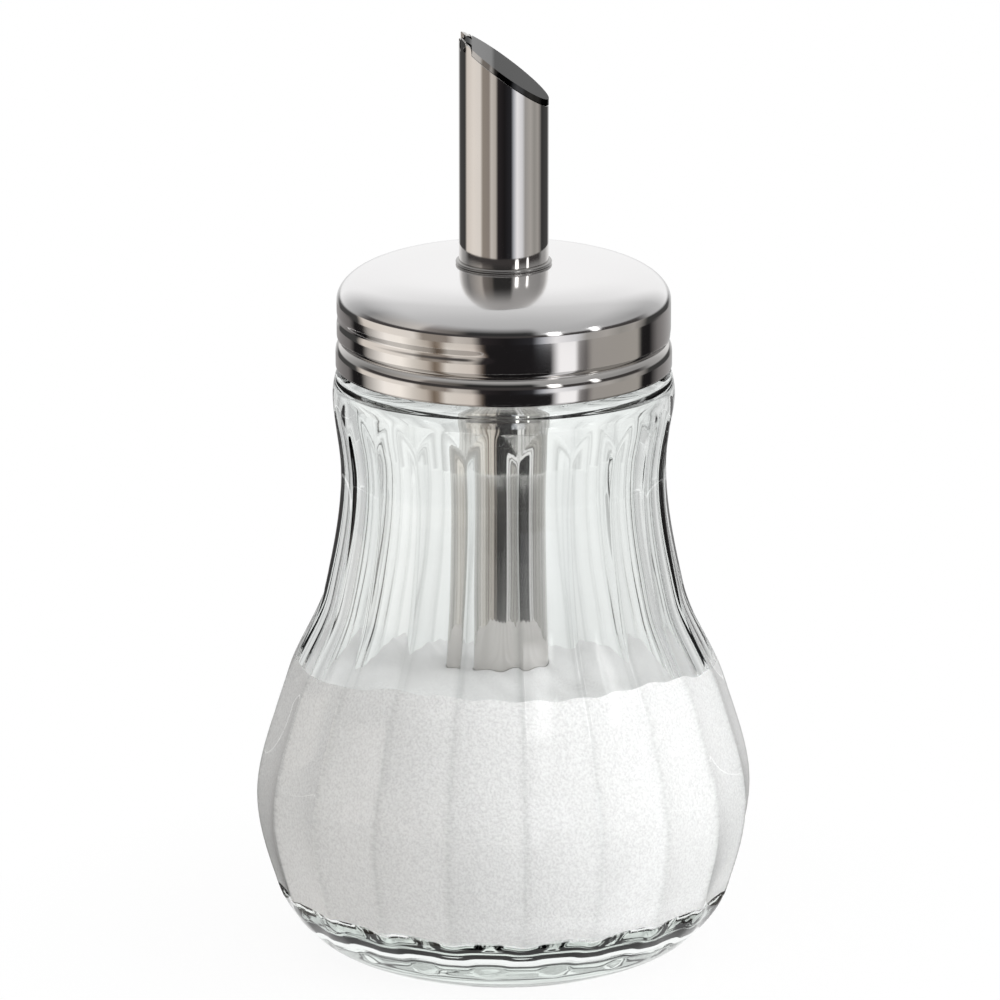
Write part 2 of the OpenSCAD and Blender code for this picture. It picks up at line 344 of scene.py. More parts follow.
def uneven_roughness(nt, bsdf, low, high):
    """Roughness that drifts between low and high, as on handled metal."""
    nt.links.new(remap(nt, noise(nt, 240.0, 5.0), 0.3, 0.7, low, high), bsdf.inputs["Roughness"])


# steel of the tube, the ring and the pin
STEEL = (0.70, 0.68, 0.66)
RING_STEEL = (0.42, 0.41, 0.40)
PIN_STEEL = (0.10, 0.10, 0.10)


def steel(name, color, rough_low, rough_high):
    m, nt, bsdf = material(name)
    bsdf.inputs["Metallic"].default_value = 1.0
    toned(nt, bsdf, color, 0.97, 60.0, 0.3, 0.7)
    uneven_roughness(nt, bsdf, rough_low, rough_high)
    return m


# steel of the flap: levels of painted reflection along it from the hinge, and the grey edge tint, painted
# shade that keeps it dark at a low angle
FLAP_HALF = 7.2
FLAP_PAINTED_REFLECTION = [(0.0, 0.05), (0.12, 0.05), (0.15, 0.50), (0.36, 0.42), (0.40, 0.04), (0.80, 0.05), (1.0, 0.03)]
FLAP_PAINTED_SHADE_EDGE_TINT = (0.42, 0.42, 0.42, 1)


def flap_material():
    """Polished steel with painted reflection in its base colour: dark, greyer over the third next to the
    hinge.
    """
    m, nt, bsdf = material("flap_steel")
    bsdf.inputs["Metallic"].default_value = 1.0
    x = object_point(nt)[1]
    along = remap(nt, x, -FLAP_HALF * MM, FLAP_HALF * MM)
    # base colour is painted reflection: mostly dark, greyer near the hinge
    nt.links.new(ramp(nt, along, greys(FLAP_PAINTED_REFLECTION)), bsdf.inputs["Base Color"])
    # grey edge tint: painted shade that keeps grazing reflections dark
    bsdf.inputs["Specular Tint"].default_value = FLAP_PAINTED_SHADE_EDGE_TINT
    uneven_roughness(nt, bsdf, 0.06, 0.10)
    return m


# steel of the cap: satin from this far over the dome's edge, with fine turning marks
SATIN_START, SATIN_FULL = 0.15, 0.8
SATIN_LOW, SATIN_HIGH, BAND_ROUGH = 0.09, 0.13, 0.06
DOME_STEEL = (0.93, 0.92, 0.92)


def cap_material():
    """Satin dome over a polished band."""
    m, nt, bsdf = material("cap_steel")
    bsdf.inputs["Metallic"].default_value = 1.0
    x, y, z = object_point(nt)[1:]
    on_dome = remap(nt, z, (DOME_Z + SATIN_START) * MM, (DOME_Z + SATIN_FULL) * MM)
    satin = remap(nt, noise(nt, 300.0, 5.0), 0.3, 0.7, SATIN_LOW, SATIN_HIGH)
    nt.links.new(mix(nt, on_dome, BAND_ROUGH, satin, "FLOAT"), bsdf.inputs["Roughness"])
    nt.links.new(mix(nt, on_dome, STEEL, DOME_STEEL), bsdf.inputs["Base Color"])
    flat = nt.nodes.new("ShaderNodeCombineXYZ")
    nt.links.new(x, flat.inputs["X"])
    nt.links.new(y, flat.inputs["Y"])
    radius = length_of(nt, flat.outputs["Vector"])
    marks = noise(nt, 9000.0, 1.0, 0.5, radius)
    bump(nt, bsdf, maths(nt, "MULTIPLY", marks, on_dome), 0.06, 0.00002)
    return m


# glass: its tint, the painted shade along the flute ridges and across each flute, and where that fades out,
# in mm
GLASS_TINT = (0.985, 1.0, 0.993)
RIDGE_PAINTED_SHADE = (0.78, 0.80, 0.79)
FLUTE_PAINTED_SHADE = [(0.035, 0.86), (0.12, 0.95), (0.5, 1.0), (0.88, 1.0), (0.965, 0.92)]
RIDGES_LOW, RIDGES_HIGH = (2.0, 18.0), (84.0, 93.0)
GLASS_DEPTH_TINT, GLASS_DENSITY = (0.84, 0.90, 0.86), 15.0


def tint_with_painted_ridge_shade(nt):
    """Glass tint with painted shade across each flute, darkest at the ridges, plain at the foot and the
    shoulder.
    """
    x, y, z = object_point(nt)[1:]
    turns = maths(nt, "ARCTAN2", y, x)
    flutes = maths(nt, "MULTIPLY_ADD", turns, FLUTES / (2 * math.pi), FLUTES - FLUTE_TURN * FLUTES / 360)
    across = [(place, *(level * c for c in GLASS_TINT)) for place, level in FLUTE_PAINTED_SHADE]
    # painted shade: dark lines at the ridges and a painted gradient across each flute
    painted_ridge_shade = ramp(nt, maths(nt, "FRACT", flutes), [(0.0, *RIDGE_PAINTED_SHADE)] + across + [(1.0, *RIDGE_PAINTED_SHADE)])
    low = remap(nt, z, RIDGES_LOW[0] * MM, RIDGES_LOW[1] * MM, 1.0, 0.0)
    high = remap(nt, z, RIDGES_HIGH[0] * MM, RIDGES_HIGH[1] * MM)
    return mix(nt, maths(nt, "MAXIMUM", low, high), painted_ridge_shade, GLASS_TINT)


def glass_material():
    """Clear glass that lets lamps light the sugar without caustics."""
    m, nt, bsdf = material("jar_glass")
    # base colour carries the painted shade along the flute ridges
    nt.links.new(tint_with_painted_ridge_shade(nt), bsdf.inputs["Base Color"])
    bsdf.inputs["Transmission Weight"].default_value = 1.0
    bsdf.inputs["IOR"].default_value = 1.5
    nt.links.new(remap(nt, noise(nt, 45.0, 3.0), 0.35, 0.65, 0.0, 0.015), bsdf.inputs["Roughness"])
    bump(nt, bsdf, noise(nt, 38.0, 2.0), 0.25, 0.0004)
    depth = nt.nodes.new("ShaderNodeVolumeAbsorption")
    depth.inputs["Color"].default_value = (*GLASS_DEPTH_TINT, 1)
    depth.inputs["Density"].default_value = GLASS_DENSITY
    nt.links.new(depth.outputs["Volume"], nt.nodes["Material Output"].inputs["Volume"])
    path = nt.nodes.new("ShaderNodeLightPath").outputs
    clear = nt.nodes.new("ShaderNodeBsdfTransparent")
    lit = maths(nt, "MAXIMUM", path["Is Shadow Ray"], path["Is Diffuse Ray"])
    mix_shaders(nt, lit, bsdf.outputs["BSDF"], clear.outputs["BSDF"])
    return m


# sugar and rubber
SUGAR_SHADE, SUGAR_WHITE = (0.80, 0.795, 0.80), (0.97, 0.97, 0.97)
RUBBER = (0.82, 0.82, 0.80)


def sugar_material():
    """Fine white grains, slightly clumped."""
    m, nt, bsdf = material("sugar")
    grain = noise(nt, 2400.0, 3.0, 0.7)
    clump = noise(nt, 160.0, 4.0, 0.6)
    tone = ramp(nt, grain, [(0.35, *SUGAR_SHADE), (0.6, *SUGAR_WHITE)])
    nt.links.new(tone, bsdf.inputs["Base Color"])
    bsdf.inputs["Roughness"].default_value = 0.75
    bump(nt, bsdf, maths(nt, "ADD", grain, clump), 0.4, 0.0003)
    return m


def rubber_material():
    m, nt, bsdf = material("seal_rubber")
    toned(nt, bsdf, RUBBER, 0.94, 120.0, 0.0, 1.0)
    bsdf.inputs["Roughness"].default_value = 0.5
    bump(nt, bsdf, noise(nt, 500.0, 2.0), 0.2, 0.00005)
    return m


# glass jar: points round it, and heights where its outline needs rings
JAR_POINTS = FLUTES * 16
FOOT_HEIGHTS = [0.0, 0.25, 0.55, 0.9, 1.3, 1.8, 2.4, 3.0, 3.7, 4.5, 5.4, 6.4, 7.5, 8.7, 10.0]
BODY_HEIGHTS = list(np.arange(11.2, 84.0, 1.0)) + list(np.arange(84.0, 95.8, 0.4))
LAND_HEIGHTS = [LAND_Z, 96.3, 96.55, 96.75, 96.9, NECK_Z]
NECK_HEIGHTS = list(np.arange(97.25, RIM_Z - RIM_ROUND, 0.22))
RIM_HEIGHTS = [RIM_Z - drop for drop in (0.75, 0.5, 0.3, 0.12, 0.0)]
INSIDE_HEIGHTS = np.arange(105.0, HEEL_TOP, -0.5)
HEEL_HEIGHTS = (HEEL_TOP, 12.5, 10.8, 9.4, 8.3, 7.5, 7.0, 6.7, 6.55)
# the rounded inner rim: how far out from the mouth and down from the rim
INNER_RIM = [(0.8, 0.0), (0.45, 0.1), (0.15, 0.4), (0.0, RIM_ROUND)]
# under the foot: radii on the hollow's flat, its slope in and up from the foot ring, and the ring's edge
PUNT_FLAT = (2.0, 9.0)
PUNT_RISE = [(4.0, PUNT), (2.4, 0.9), (1.0, 0.35), (0.0, 0.0)]
FOOT_EDGE = 0.9
FLOOR_SHARES = (1.0, 0.8, 0.55, 0.3, 0.1)


def jar_profile():
    """Rings from under the foot, up the outside and down the inside: (radius or None, height)."""
    under = [(r, PUNT) for r in PUNT_FLAT]
    under += [(FOOT_R - FOOT_W - into, up) for into, up in PUNT_RISE]
    under += [(FOOT_R - FOOT_EDGE, 0.0)]
    outside = [(None, z) for z in FOOT_HEIGHTS + BODY_HEIGHTS + LAND_HEIGHTS + NECK_HEIGHTS + RIM_HEIGHTS]
    rim = [(MOUTH_R + out, RIM_Z - down) for out, down in INNER_RIM]
    inside = [(inner_r(z), z) for z in INSIDE_HEIGHTS] + [(hollow_r(z), z) for z in HEEL_HEIGHTS]
    floor = [(HEEL_IN * share, FLOOR_Z) for share in FLOOR_SHARES]
    return under + outside + rim + inside + floor


def glass_jar():
    """The fluted jar; rings without a radius follow the flutes and the thread."""
    n = JAR_POINTS
    profile = jar_profile()
    verts = []
    for radius, z in profile:
        for k in range(n):
            a = FLUTE_TURN + 360.0 * k / n
            verts.append(around(a, outer_r(a, z) if radius is None else radius, z))
    faces = ring_grid(len(profile), n, closed=False)
    last = len(verts) - n
    verts += [(0, 0, PUNT), (0, 0, FLOOR_Z)]
    under, floor = len(verts) - 2, len(verts) - 1
    faces += [((k + 1) % n, k, under) for k in range(n)]
    faces += [(last + k, last + (k + 1) % n, floor) for k in range(n)]
    jar = new_object("jar_glass_skin", verts, faces, True, 75)
    jar.data.materials.append(glass_material())
    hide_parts("glass_jar")
    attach(jar, "jar")


# sugar: height and tilt of its top, the mound round the tube, and the waves on it
SUGAR_Z, SUGAR_TILT = 46.3, 0.115
MOUND, MOUND_R, MOUND_W = 0.9, 9.0, 7.0
SUGAR_POINTS, SUGAR_LEVELS, LEVEL_POWER = 160, 81, 1.25
# clear of the glass at the heel, and wetting it from a little higher
SUGAR_CLEAR, SUGAR_SINK, WET_Z, WET_RUN = 0.12, 0.05, 9.0, 3.0
# height where the search for the sugar's edge starts, and its steps
EDGE_START, EDGE_STEPS = 47.0, 4
TOP_SHARES = (0.97, 0.92, 0.84, 0.74, 0.64, 0.55, 0.46, 0.38, 0.31)
TUBE_CLEAR, TUBE_DIPS = 0.15, (0.0, 2.0, 7.0)


def gap(z):
    """Room between sugar and glass, below nothing where the sugar wets the wall."""
    return SUGAR_CLEAR - (SUGAR_CLEAR + SUGAR_SINK) * step01((z - WET_Z) / WET_RUN)


def sugar_top(x, y):
    """Height of the sugar's top: tilted, with a low mound and shallow waves."""
    mound = MOUND * math.exp(-((math.hypot(x, y) - MOUND_R) / MOUND_W) ** 2)
    broad = 0.8 * math.sin(0.16 * x + 0.7) * math.cos(0.13 * y - 0.4)
    narrow = 0.22 * math.sin(0.9 * x + 0.31 * y)
    return SUGAR_Z - SUGAR_TILT * y + mound + broad + narrow


def sugar_edge(a):
    """Height where the sugar's top meets the glass at angle a."""
    r = inner_r(EDGE_START) + SUGAR_SINK
    for _ in range(EDGE_STEPS):
        r = hollow_r(sugar_top(*around(a, r, 0)[:2])) + SUGAR_SINK
    return sugar_top(*around(a, r, 0)[:2])


def sugar_side(a, top, level):
    """Point on the sugar's side at angle a, a share of the way up to its top there."""
    bottom = FLOOR_Z + SUGAR_CLEAR
    z = bottom + (top - bottom) * level ** LEVEL_POWER
    return around(a, hollow_r(z) - gap(z) if level > 0 else HEEL_IN, z)


def sugar_heap():
    """The jar's contents, with a hole where the tube dips in."""
    n = SUGAR_POINTS
    angles = [360.0 * k / n for k in range(n)]
    tops = [sugar_edge(a) for a in angles]
    rings = []
    for level in np.linspace(0.0, 1.0, SUGAR_LEVELS):
        rings.append([sugar_side(a, top, level) for a, top in zip(angles, tops)])
    edge = rings[-1]
    for share in TOP_SHARES:
        rings.append([(x * share, y * share, sugar_top(x * share, y * share)) for x, y, _ in edge])
    hole = [around(a, TUBE_R + TUBE_CLEAR, 0)[:2] for a in angles]
    for dip in TUBE_DIPS:
        rings.append([(x, y, sugar_top(x, y) - dip) for x, y in hole])
    faces = ring_grid(len(rings), n, closed=False)
    faces.append(tuple(reversed(range(n))))
    faces.append(tuple((len(rings) - 1) * n + k for k in range(n)))
    sugar = new_object("sugar_heap", sum(rings, []), faces, True, 50)
    sugar.data.materials.append(sugar_material())
    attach(sugar, "jar")


# cap: outline of the lower bead, in from the bead's radius and up from the cap's edge
BEAD_OUTLINE = [(0.62, 0.05), (0.4, 0.0), (0.2, 0.0), (0.06, 0.07), (0.005, 0.22), (0.0, 0.4), (0.0, 1.4),
                (0.0, 2.3), (0.02, 2.75), (0.09, 3.2), (0.22, 3.6), (0.42, 3.95), (0.66, 4.2)]
# outline of the seam over the bead, in from the cap's radius and up from the seam
SEAM_OUTLINE = [(0.55, -0.1), (0.56, 0.0), (0.5, 0.1), (0.3, 0.26), (0.12, 0.46), (0.03, 0.7), (0.0, 1.0)]
DOME_SHARES = (0.9995, 0.998, 0.995, 0.99, 0.983, 0.975, 0.965, 0.95, 0.93, 0.905, 0.875, 0.84, 0.8, 0.75,
               0.7, 0.64, 0.58, 0.52, 0.46, 0.4, 0.34, 0.3)
UNDER_SHARES = (0.36, 0.46, 0.58, 0.7, 0.8, 0.88, 0.94, 0.975, 0.99, 0.998)
# the rolled thread's groove: where it starts, how far it runs and climbs, and its section
GROOVE_START, GROOVE_END, GROOVE_CLIMB_END = -25.0, 295.0, 205.0
GROOVE_LOW, GROOVE_CLIMB = 0.55, 3.2
GROOVE_RISE, GROOVE_FALL, GROOVE_LAST = 30.0, 12.0, 293.0
GROOVE_DEPTH, GROOVE_HALF = 0.115, 1.15


def rolled(a, r, z):
    """Radius with the groove that the rolled thread leaves outside, on a right-hand screw line."""
    turn = (a - GROOVE_START) % 360
    on_band = r >= CAP_IN and SEAM_Z + 0.1 <= z <= DOME_Z - 0.4
    if not on_band or turn > GROOVE_END:
        return r
    line = SEAM_Z + GROOVE_LOW + GROOVE_CLIMB * min(turn / GROOVE_CLIMB_END, 1.0)
    d = abs(z - line) / GROOVE_HALF
    if d >= 1:
        return r
    ends = min(step01(turn / GROOVE_RISE), step01((GROOVE_LAST - turn) / GROOVE_FALL))
    return r - GROOVE_DEPTH * ends * (math.cos(math.pi * d) + 1) / 2


def cap_shell():
    """Domed cap with its bead, seam and band, open below and at the tube."""
    loop = [(BEAD_R - into, CAP_Z + up) for into, up in BEAD_OUTLINE]
    loop += [(CAP_R - into, SEAM_Z + up) for into, up in SEAM_OUTLINE]
    loop += [(CAP_R, z) for z in np.arange(SEAM_Z + 1.2, DOME_Z - 0.6, 0.2)]
    loop += [(CAP_R - 0.01, DOME_Z - 0.3)]
    loop += [(CAP_R * t, dome(CAP_R * t, CAP_R, DOME_RISE)) for t in DOME_SHARES]
    top = dome(TUBE_R, CAP_R, DOME_RISE)
    loop += [(TUBE_R, top), (TUBE_R, top - CAP_WALL)]
    loop += [(CAP_IN * t, dome(CAP_IN * t, CAP_IN, DOME_RISE - CAP_WALL)) for t in UNDER_SHARES]
    loop += [(CAP_IN, z) for z in (DOME_Z - 1.0, 106.0, 104.5, SEAM_Z + 1.0)]
    loop += [(CAP_IN - 0.4, SEAM_Z), (CAP_IN, SEAM_Z - 1.0), (CAP_IN + 0.12, CAP_Z + 0.5)]
    cap = lathe("cap_dome_and_band", loop, 288, 60, rolled)
    cap.data.materials.append(cap_material())
    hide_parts("cap_shell")
    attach(cap, "cap")


# pouring tube: room round the flap's knuckle, and the share of it that is cut round
SLOT_CLEAR, SLOT_END = 0.2, 0.999
# rows up the tube, one more this share of the way to the rim, and rows just under the rim
TUBE_ROWS = (60.0, 80.0, 100.0, 112.0, 114.0, 118.0, 124.0, 130.0, 136.0)
ROW_SHARE = 0.6
UNDER_RIM = (0.2, 0.07)
RIM_LEAN = 0.06
HINGE_SHOULDER = 0.2 * KNUCKLE_R * math.sin(SLANT) * math.cos(SLANT)


def tube_top(x, y):
    """Height of the tube's rim: the flap's seat, the slot for its knuckle and the hinge's shoulders."""
    top = mouth_plane(x)
    seat = mouth_plane(x, FLAP_T + SEAT_GAP)
    dx = x + PIN_X
    if abs(y) < KNUCKLE_HALF + SIDE_GAP:
        slot = KNUCKLE_R + SLOT_CLEAR
        if dx >= SLOT_END * slot:
            return seat
        if dx > -slot:
            return min(seat if dx > 0 else top, PIN_Z - math.sqrt(slot * slot - dx * dx))
        return min(top, PIN_Z - dx * math.tan(SLANT))
    if dx <= -HINGE_SHOULDER:
        return top
    if abs(dx) < KNUCKLE_R:
        return max(seat, min(top, PIN_Z + math.sqrt(KNUCKLE_R ** 2 - dx * dx)))
    return seat


def tube_foot(x):
    return TUBE_FOOT + (x + TUBE_R) * math.tan(FOOT_SLANT)


def tube_angles():
    """Angles of the tube's points, closer together round the hinge and at the slot's edges."""
    angles = set(np.round(np.linspace(0, 360, 288, endpoint=False), 4))
    for radius in (TUBE_R, TUBE_R - TUBE_WALL):
        edge = math.degrees(math.asin((KNUCKLE_HALF + SIDE_GAP) / radius))
        for middle in (180 - edge, 180 + edge):
            angles |= {round(middle - 0.03, 4), round(middle + 0.03, 4)}
    angles |= {round(float(a), 4) for a in np.arange(120, 240, 0.6)}
    return sorted(angles)


def tube_wall(angles, radius, lean):
    """Rows of points up one face of the tube; the last row leans over to round the rim."""
    points = [around(a, radius, 0)[:2] for a in angles]
    tops = [tube_top(x, y) for x, y in points]
    rows = [[(x, y, tube_foot(x)) for x, y in points]]
    rows += [[(x, y, z) for x, y in points] for z in TUBE_ROWS]
    last = TUBE_ROWS[-1]
    rows.append([(x, y, last + (t - UNDER_RIM[0] - last) * ROW_SHARE) for (x, y), t in zip(points, tops)])
    for under in UNDER_RIM:
        rows.append([(x, y, t - under) for (x, y), t in zip(points, tops)])
    share = (radius + lean) / radius
    rows.append([(x * share, y * share, t) for (x, y), t in zip(points, tops)])
    return rows


def pour_tube():
    angles = tube_angles()
    outside = tube_wall(angles, TUBE_R, -RIM_LEAN)
    inside = tube_wall(angles, TUBE_R - TUBE_WALL, RIM_LEAN)
    rows = outside + inside[::-1]
    tube = new_object("tube_steel_pipe", sum(rows, []), ring_grid(len(rows), len(angles)), True, 35)
    tube.data.materials.append(steel("polished_steel", STEEL, 0.03, 0.06))
    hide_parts("pour_tube")
    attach(tube, "cap")


# ring on the dome: width, height, and the radius and middle of its round edge
RING_W, RING_H, RING_ROUND, RING_MIDDLE = 0.45, 0.62, 0.3, 0.25
RING_SEAT = 0.75


def tube_collar(ring_steel):
    bottom = dome(TUBE_R + RING_SEAT, CAP_R, DOME_RISE) + 0.02
    loop = [(TUBE_R + 0.01, bottom), (TUBE_R + RING_W, bottom)]
    for degrees in range(-60, 91, 15):
        t = math.radians(degrees)
        out = RING_MIDDLE + RING_ROUND * math.cos(t)
        loop.append((TUBE_R + out, bottom + RING_ROUND + RING_ROUND * math.sin(t)))
    loop.append((TUBE_R + 0.01, bottom + RING_H))
    collar = lathe("tube_ring", loop, 192, 50)
    collar.data.materials.append(ring_steel)
    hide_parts("tube_collar")
    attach(collar, "cap")


def dress(name, mat, width=None):
    """Puts a material on a solid of the part and softens its edges."""
    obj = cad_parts[name]
    obj.data.materials.clear()
    obj.data.materials.append(mat)
    if width:
        mod = obj.modifiers.new("soft_edge", "BEVEL")
        mod.width = width
        mod.segments = 3
        mod.limit_method = "ANGLE"
        mod.angle_limit = math.radians(35)
        mod.harden_normals = True


# floor: white except for the object's shadow, from this near to this far, in metres
SHADOW_NEAR, SHADOW_FAR = 0.03, 0.09
FLOOR_HALF = 900


def floor_material():
    """Pale floor, white to the camera, metal and glass, with the shadow kept near the object."""
    m, nt, bsdf = material("floor_white")
    bsdf.inputs["Base Color"].default_value = (0.9, 0.9, 0.9, 1)
    bsdf.inputs["Roughness"].default_value = 0.9
    bsdf.inputs["Specular IOR Level"].default_value = 0.0
    em = nt.nodes.new("ShaderNodeEmission")
    em.inputs["Color"].default_value = (1, 1, 1, 1)
    em.inputs["Strength"].default_value = 1.0
    path = nt.nodes.new("ShaderNodeLightPath").outputs
    seen = maths(nt, "MAXIMUM", path["Is Camera Ray"], path["Is Glossy Ray"])
    seen = maths(nt, "MAXIMUM", seen, path["Is Transmission Ray"])
    far = length_of(nt, object_point(nt)[0])
    fade = remap(nt, far, SHADOW_NEAR, SHADOW_FAR, 0.92, 1.0)
    mix_shaders(nt, maths(nt, "MULTIPLY", seen, fade), bsdf.outputs["BSDF"], em.outputs["Emission"])
    return m


def pale_floor():
    h = FLOOR_HALF
    floor = new_object("floor", [(-h, -h, 0), (h, -h, 0), (h, h, 0), (-h, h, 0)], [(0, 1, 2, 3)], False)
    floor.data.materials.append(floor_material())


# colours of the room by compass angle in degrees, from the camera's side and positive to its right
BLACK = (0.015, 0.014, 0.015)
STRIP = (0.06, 0.055, 0.055)
# what the cap's band mirrors
LOW = [(-180, 0.75, 0.74, 0.74), (-168, 0.42, 0.41, 0.41), (-150, 0.30, 0.29, 0.29), (-129, 0.20, 0.19, 0.19),
       (-121, *BLACK), (-110, *BLACK), (-104, 0.42, 0.40, 0.38), (-97, 0.72, 0.69, 0.66),
       (-86, 1.2, 1.15, 1.1), (-72, 1.25, 1.19, 1.12), (-62, 0.85, 0.8, 0.74), (-52, 0.62, 0.56, 0.50),
       (-46.5, 0.22, 0.17, 0.13), (-43, 0.34, 0.28, 0.23), (-38, 0.92, 0.87, 0.81), (-20, 0.85, 0.78, 0.72),
       (-14, 0.15, 0.12, 0.10), (-12, *BLACK), (31, *BLACK), (37, 1.25, 1.25, 1.28), (48, 1.25, 1.25, 1.28),
       (51, 0.30, 0.29, 0.29), (56, 0.16, 0.15, 0.15), (61, 0.42, 0.40, 0.38), (101, 0.44, 0.42, 0.39),
       (106, *BLACK), (116, *BLACK), (128, 0.22, 0.21, 0.21), (150, 0.40, 0.39, 0.39), (168, 0.5, 0.5, 0.5),
       (180, 0.75, 0.74, 0.74)]
# what the tube mirrors
MID = [(-180, 0.9, 0.9, 0.9), (-160, 0.6, 0.6, 0.6), (-148, 0.08, 0.08, 0.08), (-116, 0.06, 0.06, 0.06),
       (-108, 0.85, 0.79, 0.73), (-84, 1.0, 0.94, 0.88), (-62, 0.95, 0.90, 0.85), (-55, 0.36, 0.32, 0.28),
       (-38, 0.33, 0.29, 0.26), (-32, 0.72, 0.68, 0.64), (-21, 0.60, 0.56, 0.52), (-15, 0.03, 0.026, 0.028),
       (2, *BLACK), (19, 0.03, 0.03, 0.035), (25, 0.5, 0.52, 0.57), (34, 1.1, 1.1, 1.14),
       (48, 0.85, 0.86, 0.9), (56, 0.42, 0.41, 0.40), (72, 0.52, 0.50, 0.48), (84, 0.38, 0.37, 0.35),
       (97, 0.46, 0.44, 0.42), (106, 0.25, 0.24, 0.23), (112, 0.05, 0.05, 0.05), (148, 0.08, 0.08, 0.08),
       (160, 0.6, 0.6, 0.6), (180, 0.9, 0.9, 0.9)]
# what the dome and the edges of the seam mirror
HIGH = [(-180, 0.95, 0.95, 0.95), (-150, 0.9, 0.9, 0.9), (-130, 0.5, 0.5, 0.5), (-106, 0.25, 0.25, 0.25),
        (-60, 0.55, 0.52, 0.49), (-54, 0.22, 0.2, 0.19), (-32, 0.14, 0.13, 0.12), (-24, 0.03, 0.03, 0.03),
        (19, 0.03, 0.03, 0.03), (26, 0.42, 0.42, 0.42), (52, 0.42, 0.42, 0.42), (106, 0.35, 0.35, 0.35),
        (130, 0.5, 0.5, 0.5), (150, 0.9, 0.9, 0.9), (180, 0.95, 0.95, 0.95)]
# what clear glass shows of the room
BEYOND = greys([(-180, 1.0), (-173, 0.72), (-166, 1.0), (-158, 1.0), (-150, 0.6), (-142, 1.0), (-128, 0.7),
                (-115, 1.0), (-95, 0.6), (-80, 1.0), (80, 1.0), (96, 0.6), (113, 1.0), (127, 0.7),
                (140, 1.0), (151, 0.55), (158, 1.0), (165, 0.8), (173, 1.0), (180, 1.0)])
# levels of the ceiling from over the camera to the back
CEILING = greys([(0.0, 0.45), (0.34, 0.50), (0.52, 0.54), (0.68, 0.59), (0.90, 0.66), (1.0, 0.76)])
# heights in metres where one band of the room gives way to the next
LOW_TO_MID, MID_TO_HIGH = (0.0365, 0.0385), (0.085, 0.11)
STRIP_TO_HIGH, HIGH_TO_CEILING = (0.165, 0.185), (0.25, 0.43)
# bright strips that the flutes catch: angles and heights where each starts, is full, and ends
STREAK_ANGLES = ((28, 32, 35, 39), (59, 63, 63, 67))
STREAK_HEIGHTS = (0.105, 0.15, 0.230, 0.238)
STREAK = (3.6, 3.6, 3.6)
SOFT_LIGHT = (0.92, 0.92, 0.92)


def compass(nt, x, y):
    """Compass angle of a point on the room, in radians."""
    return maths(nt, "ARCTAN2", x, maths(nt, "MULTIPLY", y, -1.0))


def room_ramp(nt, angle, stops):
    """Colour ramp over the compass angle."""
    share = remap(nt, angle, -math.pi, math.pi)
    return ramp(nt, share, [((degrees + 180) / 360, *color) for degrees, *color in stops])


def paler(nt, y):
    """How far clear glass washes out the room: little in front, more beside, nearly all behind."""
    return maths(nt, "ADD", remap(nt, y, -0.25, -0.08, 0.04, 0.42), remap(nt, y, 0.0, 0.26, 0.0, 0.55))


def tent_material():
    """Room round the object: panels set by compass angle and height under a graded ceiling."""
    m, nt, color_socket = glow("tent", 1.0)
    x, y, z = object_point(nt)[1:]
    angle = compass(nt, x, y)
    path = nt.nodes.new("ShaderNodeLightPath").outputs
    color = mix(nt, remap(nt, z, *LOW_TO_MID), room_ramp(nt, angle, LOW), room_ramp(nt, angle, MID))
    high = room_ramp(nt, angle, HIGH)
    front = mix(nt, remap(nt, z, *STRIP_TO_HIGH), STRIP, high)
    upper = mix(nt, remap(nt, y, 0.05, 0.12), front, high)
    color = mix(nt, remap(nt, z, *MID_TO_HIGH), color, upper)
    for angles in STREAK_ANGLES:
        across = window(nt, angle, *(math.radians(degrees) for degrees in angles))
        streak = maths(nt, "MULTIPLY", across, window(nt, z, *STREAK_HEIGHTS))
        color = mix(nt, streak, color, STREAK)
    ceiling = ramp(nt, remap(nt, y, -0.25, 0.25), CEILING)
    color = mix(nt, remap(nt, z, *HIGH_TO_CEILING), color, ceiling)
    soft = maths(nt, "MULTIPLY", path["Is Diffuse Ray"], remap(nt, z, 0.15, 0.30))
    color = mix(nt, soft, color, SOFT_LIGHT)
    wash = maths(nt, "MULTIPLY", path["Is Transmission Ray"], paler(nt, y))
    nt.links.new(mix(nt, wash, color, room_ramp(nt, angle, BEYOND)), color_socket)
    return m


TENT_OUTLINE = [(300, 2), (300, 60), (300, 150), (300, 250), (296, 330), (280, 400), (240, 460), (170, 500),
                (90, 515), (2, 520)]
TENT_POINTS = 96


def light_tent():
    """Tent of light round the object, not seen by the camera."""
    verts = [around(360 * k / TENT_POINTS, r, z) for r, z in TENT_OUTLINE for k in range(TENT_POINTS)]
    faces = ring_grid(len(TENT_OUTLINE), TENT_POINTS, closed=False)
    tent = new_object("light_tent", verts, faces, True)
    tent.data.materials.append(tent_material())
    tent.visible_camera = False


# table: radii of its rings in mm, its dimming, and the distance over which it goes clear to glass
TABLE_RADII, TABLE_Z, TABLE_POINTS = (43, 180, 299), 0.4, 64
TABLE_DIM, TABLE_WHITE = 0.6, (1.6, 1.6, 1.6)
TABLE_NEAR, TABLE_FAR = 0.07, 0.13


def table_material():
    """What the lower metal mirrors from the table: the room's low colours, darker."""
    m, nt, color_socket = glow("table_front", TABLE_DIM)
    coords, x, y, _ = object_point(nt)
    path = nt.nodes.new("ShaderNodeLightPath").outputs
    near = remap(nt, length_of(nt, coords), TABLE_NEAR, TABLE_FAR, 1.0, 0.0)
    clear = maths(nt, "MAXIMUM", near, paler(nt, y))
    wash = maths(nt, "MULTIPLY", path["Is Transmission Ray"], clear)
    low = room_ramp(nt, compass(nt, x, y), LOW)
    nt.links.new(mix(nt, wash, low, TABLE_WHITE), color_socket)
    return m


